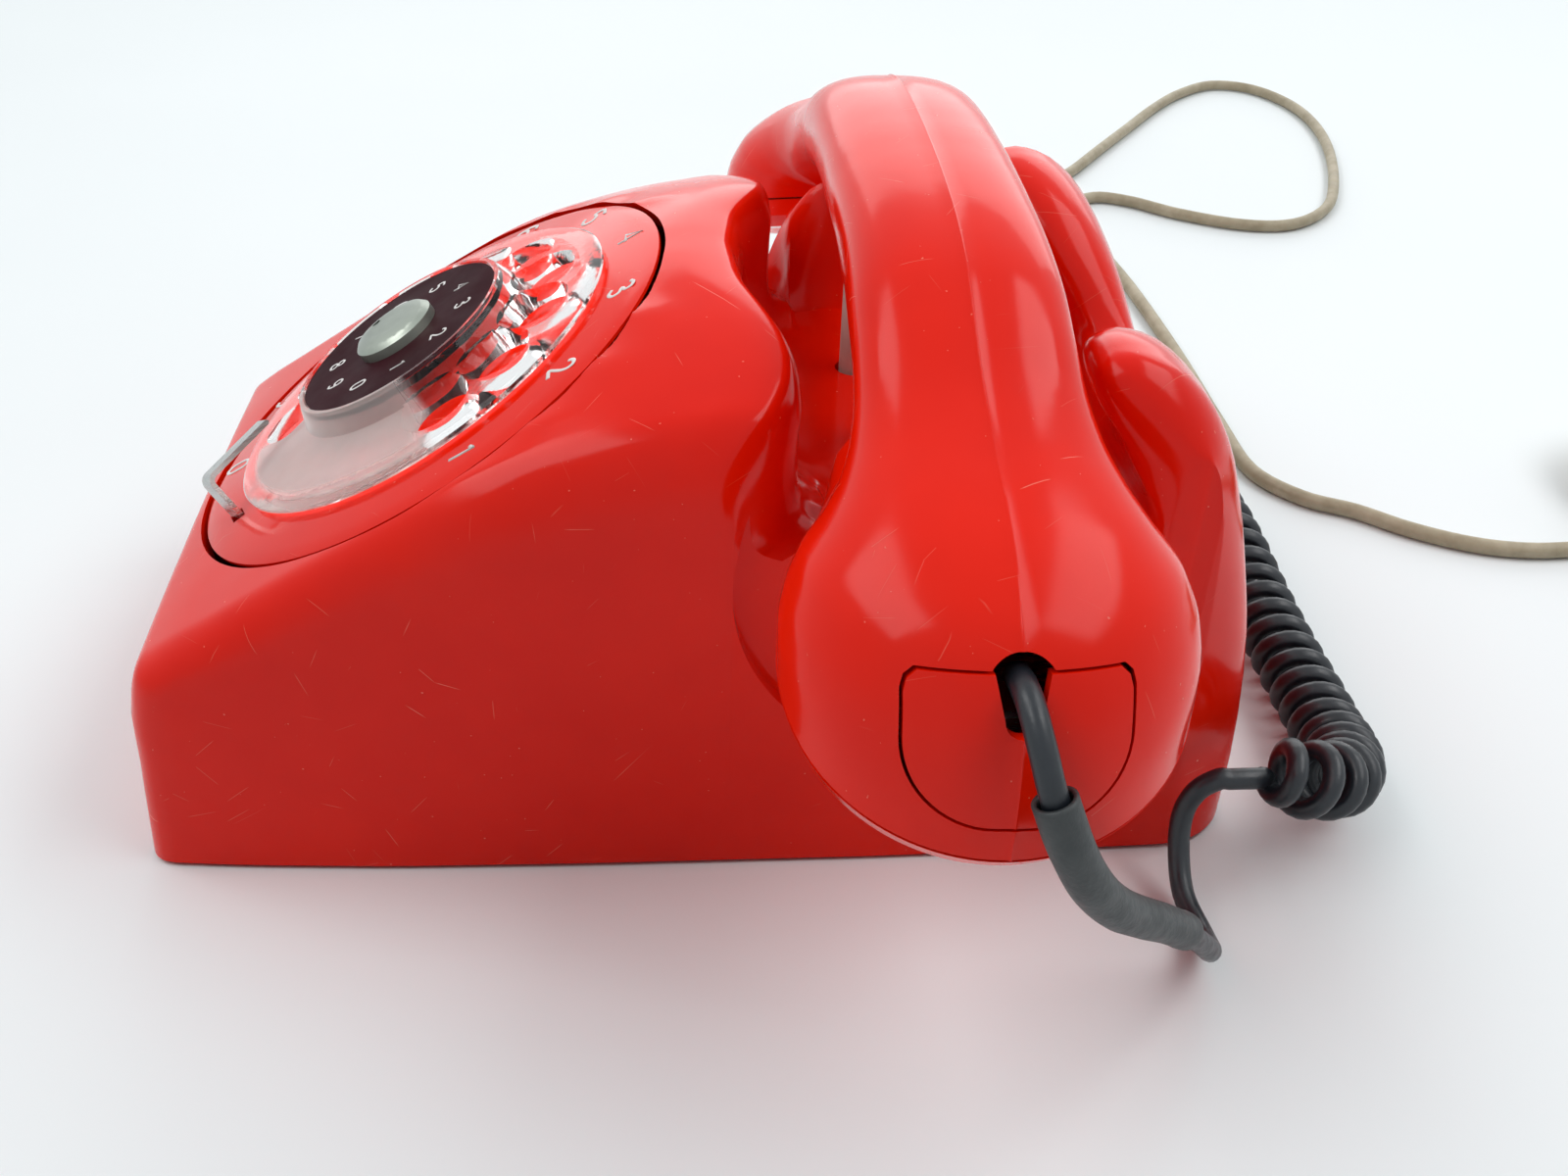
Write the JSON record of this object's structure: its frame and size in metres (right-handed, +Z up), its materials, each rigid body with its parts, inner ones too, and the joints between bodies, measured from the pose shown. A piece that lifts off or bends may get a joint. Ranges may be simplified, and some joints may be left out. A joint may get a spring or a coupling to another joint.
{
  "type": "corded rotary dial telephone",
  "caption": "Desk telephone: wedge body with a sloped rotary dial, a handset across a hollowed cradle, a curly handset cord and a line cord with its plug",
  "frame": {"origin": "on the table under the middle of the body's box, measured without the cords", "axes": "+X the user's right and along the handset, +Y towards the back, +Z up"},
  "size_m": [0.5478, 0.4365, 0.121],
  "materials": {
    "red_plastic": "glossy orange-red moulded plastic with fine scuffs",
    "clear_plastic": "clear acrylic",
    "label": "dark brown disc under clear plastic",
    "hub_metal": "dull cast metal",
    "steel": "bright steel",
    "brass": "plain brass",
    "black_cord": "satin dark cord",
    "cream_cord": "aged cream cord",
    "dark_plastic": "dark moulded plastic",
    "base_metal": "dark painted sheet",
    "board": "laminate board",
    "winding": "wound and varnished wire",
    "natural_plastic": "natural white plastic",
    "rubber": "soft rubber"
  },
  "bodies": {
    "base": {"housing": "red_plastic", "base_plate": "base_metal", "rubber_feet": "rubber", "base_screws": "steel", "number_plate": "red_plastic", "finger_stop": "steel", "dial_frame": "steel", "dial_brackets": "steel", "dial_pillars": "brass", "main_spring": "steel", "governor_cup": "brass", "pulse_contacts": "brass", "hook_guide": "steel", "hook_spring": "steel", "switch_springs": "brass", "bell_gong_left": "steel", "bell_gong_right": "steel", "bell_posts": "brass", "bell_coils": "winding", "bell_yoke": "steel", "circuit_board": "board", "capacitor": "steel", "induction_coil": "winding", "terminal_block": "dark_plastic", "terminal_screws": "brass", "curly_cord": "black_cord", "handset_cord_tail": "black_cord", "handset_cord_grommet": "rubber", "line_cord": "cream_cord", "line_cord_coil": "cream_cord", "line_cord_grommet": "rubber", "line_plug": "cream_cord", "line_plug_pins": "brass"},
    "dial": {"finger_wheel": "clear_plastic", "label_disc": "label", "hub_cap": "hub_metal", "dial_shaft": "steel", "drive_gear": "brass"},
    "pinion": {"pinion_shaft": "brass", "pulse_cam": "dark_plastic"},
    "governor_rotor": {"governor": "steel"},
    "hook": {"hook_yoke": "natural_plastic"},
    "lever": {"hook_lever": "steel"},
    "striker": {"clapper": "steel"},
    "handset": {"handset_shell": "red_plastic", "mouth_cap": "red_plastic", "ear_cap": "red_plastic", "microphone": "steel", "earphone": "steel", "handset_end_plug": "red_plastic", "handset_cord_lead": "black_cord", "cord_sleeve": "black_cord"}
  },
  "joints": [
    {"name": "dial_turn", "type": "hinge", "parent": "base", "child": "dial", "pos_m": [0, -0.0518, 0.07293], "axis": [0, -0.518, 0.8554], "range_deg": [-322, 0], "stiffness_Nm_per_rad": 0.002},
    {"name": "pinion_turn", "type": "hinge", "parent": "base", "child": "pinion", "pos_m": [0, -0.02687, 0.08803], "axis": [0, -0.518, 0.8554], "range_deg": [0, 1610]},
    {"name": "governor_turn", "type": "hinge", "parent": "base", "child": "governor_rotor", "pos_m": [0, -0.01055, 0.08154], "axis": [1, 0, 0], "range_deg": [0, 8050]},
    {"name": "handset_lift", "type": "slide", "parent": "base", "child": "handset", "axis": [0, 0, 1], "range_m": [0, 0.05]},
    {"name": "hook_slide", "type": "slide", "parent": "base", "child": "hook", "axis": [0, 0, 1], "range_m": [0, 0.007], "deforming": ["hook_spring"]},
    {"name": "hook_lever_turn", "type": "hinge", "parent": "base", "child": "lever", "pos_m": [0, 0.038, 0.0454], "axis": [1, 0, 0], "range_deg": [-14, 0]},
    {"name": "clapper_swing", "type": "hinge", "parent": "base", "child": "striker", "pos_m": [0, 0.041, 0.02], "axis": [0, 0, 1], "range_deg": [-1.2, 1.2], "stiffness_Nm_per_rad": 0.002}
  ],
  "couplings": [
    {"joint": "pinion_turn", "follows": "dial_turn", "ratio": -5},
    {"joint": "governor_turn", "follows": "dial_turn", "ratio": -25},
    {"joint": "hook_slide", "follows": "handset_lift", "ratio": 0.14},
    {"joint": "hook_lever_turn", "follows": "handset_lift", "rad_per_m": -4.88}
  ]
}
